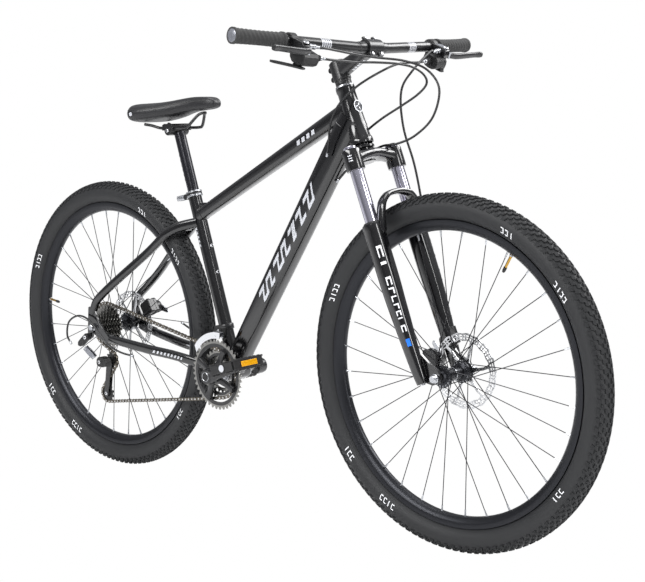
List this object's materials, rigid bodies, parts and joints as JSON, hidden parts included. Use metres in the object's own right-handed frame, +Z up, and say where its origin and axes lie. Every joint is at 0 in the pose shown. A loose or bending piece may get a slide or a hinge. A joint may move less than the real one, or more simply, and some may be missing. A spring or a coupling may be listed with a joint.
{
  "type": "hardtail mountain bike",
  "caption": "Hardtail mountain bike with a suspension fork, disc brakes, knobbly tyres and a triple-ring derailleur drivetrain.",
  "frame": {"origin": "centre of the rear axle, on the bike's middle plane", "axes": "+X forward along the bike, +Y to the rider's left along the axles, +Z up; the ground is 370 mm below the origin"},
  "size_m": [1.836, 0.7338, 1.0671],
  "materials": {
    "frame_paint": "gloss black powder coat",
    "fork_black": "gloss black enamel",
    "chrome": "polished hard chrome",
    "steel": "zinc-plated steel",
    "rotor_steel": "ground stainless",
    "chain_steel": "oiled grey steel",
    "black_steel": "black electrophoretic coat",
    "black_alloy": "satin black",
    "anodised_alloy": "silver anodised",
    "anodised_black": "black anodised",
    "rim_alloy": "dark grey anodised",
    "black_plastic": "moulded nylon",
    "grip_rubber": "moulded rubber",
    "tyre": "vulcanised rubber",
    "saddle_cover": "black synthetic leather over foam",
    "cable_black": "extruded cable housing"
  },
  "bodies": {
    "frame": {"frame": "frame_paint", "bottom_bracket": "steel", "seat_clamp_collar": "anodised_alloy", "rear_axle": "steel", "rear_brake_caliper": "black_alloy", "chain": "chain_steel", "front_derailleur": "black_alloy", "rear_derailleur_knuckle": "black_plastic", "rear_brake_cable": "cable_black", "rear_shift_cable": "cable_black", "front_shift_cable": "cable_black", "rear_shift_casing": "cable_black", "rear_brake_casing": "cable_black"},
    "steering": {"fork_crown": "fork_black", "right_stanchion": "chrome", "left_stanchion": "chrome", "stem": "black_alloy", "stem_faceplate": "black_alloy", "handlebar": "black_alloy", "right_grip": "grip_rubber", "left_grip": "grip_rubber", "right_control_pod": "black_plastic", "left_control_pod": "black_plastic", "front_brake_cable": "cable_black"},
    "preload_knob": {"preload_knob": "black_plastic"},
    "fork_lowers": {"fork_lowers": "fork_black", "front_axle": "steel", "front_brake_caliper": "black_alloy"},
    "front_axle_lever": {"front_axle_lever": "black_alloy"},
    "front_wheel": {"front_tyre": "tyre", "front_rim": "rim_alloy", "front_hub": "black_alloy", "front_rotor": "rotor_steel"},
    "front_brake_arm": {"front_brake_arm": "steel"},
    "rear_wheel": {"rear_tyre": "tyre", "rear_rim": "rim_alloy", "rear_hub": "black_alloy", "rear_rotor": "rotor_steel"},
    "rear_axle_lever": {"rear_axle_lever": "black_alloy"},
    "rear_brake_arm": {"rear_brake_arm": "steel"},
    "cassette": {"cassette": "steel"},
    "crank": {"right_crank": "black_alloy", "left_crank": "black_alloy", "chainrings": "black_steel"},
    "right_pedal": {"right_pedal": "black_plastic"},
    "left_pedal": {"left_pedal": "black_plastic"},
    "front_derailleur_cage": {"front_derailleur_cage": "steel"},
    "rear_derailleur_link": {"rear_derailleur_link": "anodised_alloy"},
    "rear_derailleur_body": {"rear_derailleur_body": "black_plastic"},
    "rear_derailleur_cage": {"rear_derailleur_cage": "black_steel"},
    "guide_pulley": {"guide_pulley": "black_plastic"},
    "tension_pulley": {"tension_pulley": "black_plastic"},
    "right_brake_lever": {"right_brake_lever": "black_alloy"},
    "left_brake_lever": {"left_brake_lever": "black_alloy"},
    "right_shift_lever": {"right_shift_lever": "black_plastic"},
    "left_shift_lever": {"left_shift_lever": "black_plastic"},
    "seatpost": {"seatpost": "anodised_black"},
    "saddle": {"saddle": "saddle_cover", "saddle_rails": "black_steel"},
    "seat_clamp_lever": {"seat_clamp_lever": "anodised_alloy"}
  },
  "joints": [
    {"name": "steering_turn", "type": "hinge", "parent": "frame", "child": "steering", "pos_m": [0.86081, 0, 0.46564], "axis": [-0.3584, 0, 0.9336], "range_deg": [-60, 60], "deforming": ["rear_brake_cable", "rear_shift_cable", "front_shift_cable"]},
    {"name": "fork_travel", "type": "slide", "parent": "steering", "child": "fork_lowers", "axis": [-0.3584, 0, 0.9336], "range_m": [0, 0.06], "stiffness_N_per_m": 5500, "springref_m": -0.02, "deforming": ["front_brake_cable"]},
    {"name": "preload_turn", "type": "hinge", "parent": "steering", "child": "preload_knob", "pos_m": [0.88629, 0.066, 0.45507], "axis": [-0.3584, 0, 0.9336], "range_deg": [0, 720]},
    {"name": "front_lever_swing", "type": "hinge", "parent": "fork_lowers", "child": "front_axle_lever", "pos_m": [1.096, 0.078, 0], "axis": [0.5291, 0, -0.8486], "range_deg": [0, 170]},
    {"name": "front_wheel_spin", "type": "hinge", "parent": "fork_lowers", "child": "front_wheel", "pos_m": [1.096, 0, 0], "axis": [0, 1, 0], "continuous": true},
    {"name": "front_brake_pull", "type": "hinge", "parent": "fork_lowers", "child": "front_brake_arm", "pos_m": [1.01227, 0.0713, 0.01467], "axis": [0, 1, 0], "range_deg": [0, 20]},
    {"name": "rear_wheel_spin", "type": "hinge", "parent": "frame", "child": "rear_wheel", "pos_m": [0, 0, 0], "axis": [0, 1, 0], "continuous": true},
    {"name": "rear_lever_swing", "type": "hinge", "parent": "frame", "child": "rear_axle_lever", "pos_m": [0, 0.0955, 0], "axis": [-0.6606, 0, -0.7507], "range_deg": [0, 170]},
    {"name": "rear_brake_pull", "type": "hinge", "parent": "frame", "child": "rear_brake_arm", "pos_m": [0.07188, 0.0838, 0.0415], "axis": [0, 1, 0], "range_deg": [0, 20]},
    {"name": "crank_spin", "type": "hinge", "parent": "frame", "child": "crank", "pos_m": [0.445, 0, -0.072], "axis": [0, 1, 0], "continuous": true},
    {"name": "cassette_spin", "type": "hinge", "parent": "frame", "child": "cassette", "pos_m": [0, 0, 0], "axis": [0, 1, 0], "continuous": true},
    {"name": "right_pedal_spin", "type": "hinge", "parent": "crank", "child": "right_pedal", "pos_m": [0.60612, -0.1415, -0.01778], "axis": [0, 1, 0], "continuous": true},
    {"name": "left_pedal_spin", "type": "hinge", "parent": "crank", "child": "left_pedal", "pos_m": [0.28388, 0.1415, -0.12622], "axis": [0, 1, 0], "continuous": true},
    {"name": "front_derailleur_move", "type": "slide", "parent": "frame", "child": "front_derailleur_cage", "axis": [0, -1, 0], "range_m": [0, 0.0085], "deforming": ["chain"]},
    {"name": "rear_derailleur_swing", "type": "hinge", "parent": "frame", "child": "rear_derailleur_link", "pos_m": [-0.042, -0.084, -0.0445], "axis": [-0.6198, 0, -0.7848], "range_deg": [0, 14], "deforming": ["chain", "rear_shift_casing"]},
    {"name": "rear_derailleur_level", "type": "hinge", "parent": "rear_derailleur_link", "child": "rear_derailleur_body", "pos_m": [0.002, -0.06, -0.096], "axis": [0.6198, 0, 0.7848], "range_deg": [0, 14], "deforming": ["chain", "rear_shift_casing"]},
    {"name": "derailleur_cage_swing", "type": "hinge", "parent": "rear_derailleur_body", "child": "rear_derailleur_cage", "pos_m": [0.01, -0.029, -0.0915], "axis": [0, 1, 0], "range_deg": [-25, 20], "stiffness_Nm_per_rad": 0.6, "deforming": ["chain"]},
    {"name": "guide_pulley_spin", "type": "hinge", "parent": "rear_derailleur_cage", "child": "guide_pulley", "pos_m": [0.01, -0.029, -0.0915], "axis": [0, 1, 0], "continuous": true},
    {"name": "tension_pulley_spin", "type": "hinge", "parent": "rear_derailleur_cage", "child": "tension_pulley", "pos_m": [-0.01, -0.029, -0.181], "axis": [0, 1, 0], "continuous": true},
    {"name": "right_brake_squeeze", "type": "hinge", "parent": "steering", "child": "right_brake_lever", "pos_m": [0.9243, -0.22154, 0.65202], "axis": [-0.392, 0, -0.92], "range_deg": [0, 24], "stiffness_Nm_per_rad": 0.8},
    {"name": "left_brake_squeeze", "type": "hinge", "parent": "steering", "child": "left_brake_lever", "pos_m": [0.9243, 0.22154, 0.65202], "axis": [0.392, 0, 0.92], "range_deg": [0, 24], "stiffness_Nm_per_rad": 0.8},
    {"name": "right_shift_push", "type": "hinge", "parent": "steering", "child": "right_shift_lever", "pos_m": [0.89624, -0.22154, 0.62213], "axis": [0.392, 0, 0.92], "range_deg": [0, 30], "stiffness_Nm_per_rad": 0.3},
    {"name": "left_shift_push", "type": "hinge", "parent": "steering", "child": "left_shift_lever", "pos_m": [0.89624, 0.22154, 0.62213], "axis": [-0.392, 0, -0.92], "range_deg": [0, 30], "stiffness_Nm_per_rad": 0.3},
    {"name": "seatpost_height", "type": "slide", "parent": "frame", "child": "seatpost", "axis": [-0.3007, 0, 0.9537], "range_m": [-0.078, 0.06]},
    {"name": "saddle_setback", "type": "slide", "parent": "seatpost", "child": "saddle", "axis": [1, 0, 0], "range_m": [-0.03, 0.012]},
    {"name": "seat_lever_swing", "type": "hinge", "parent": "frame", "child": "seat_clamp_lever", "pos_m": [0.29344, 0.0125, 0.33775], "axis": [0.1483, 0, -0.9889], "range_deg": [0, 95]}
  ],
  "couplings": [
    {"joint": "cassette_spin", "follows": "crank_spin", "ratio": 1},
    {"joint": "guide_pulley_spin", "follows": "crank_spin", "ratio": -2.5455},
    {"joint": "tension_pulley_spin", "follows": "crank_spin", "ratio": 2.5455},
    {"joint": "front_brake_pull", "follows": "left_brake_squeeze", "ratio": 0.7},
    {"joint": "rear_brake_pull", "follows": "right_brake_squeeze", "ratio": 0.7},
    {"joint": "front_derailleur_move", "follows": "left_shift_push", "m_per_rad": 0.0153},
    {"joint": "rear_derailleur_swing", "follows": "right_shift_push", "ratio": 0.4},
    {"joint": "rear_derailleur_level", "follows": "right_shift_push", "ratio": 0.4}
  ]
}
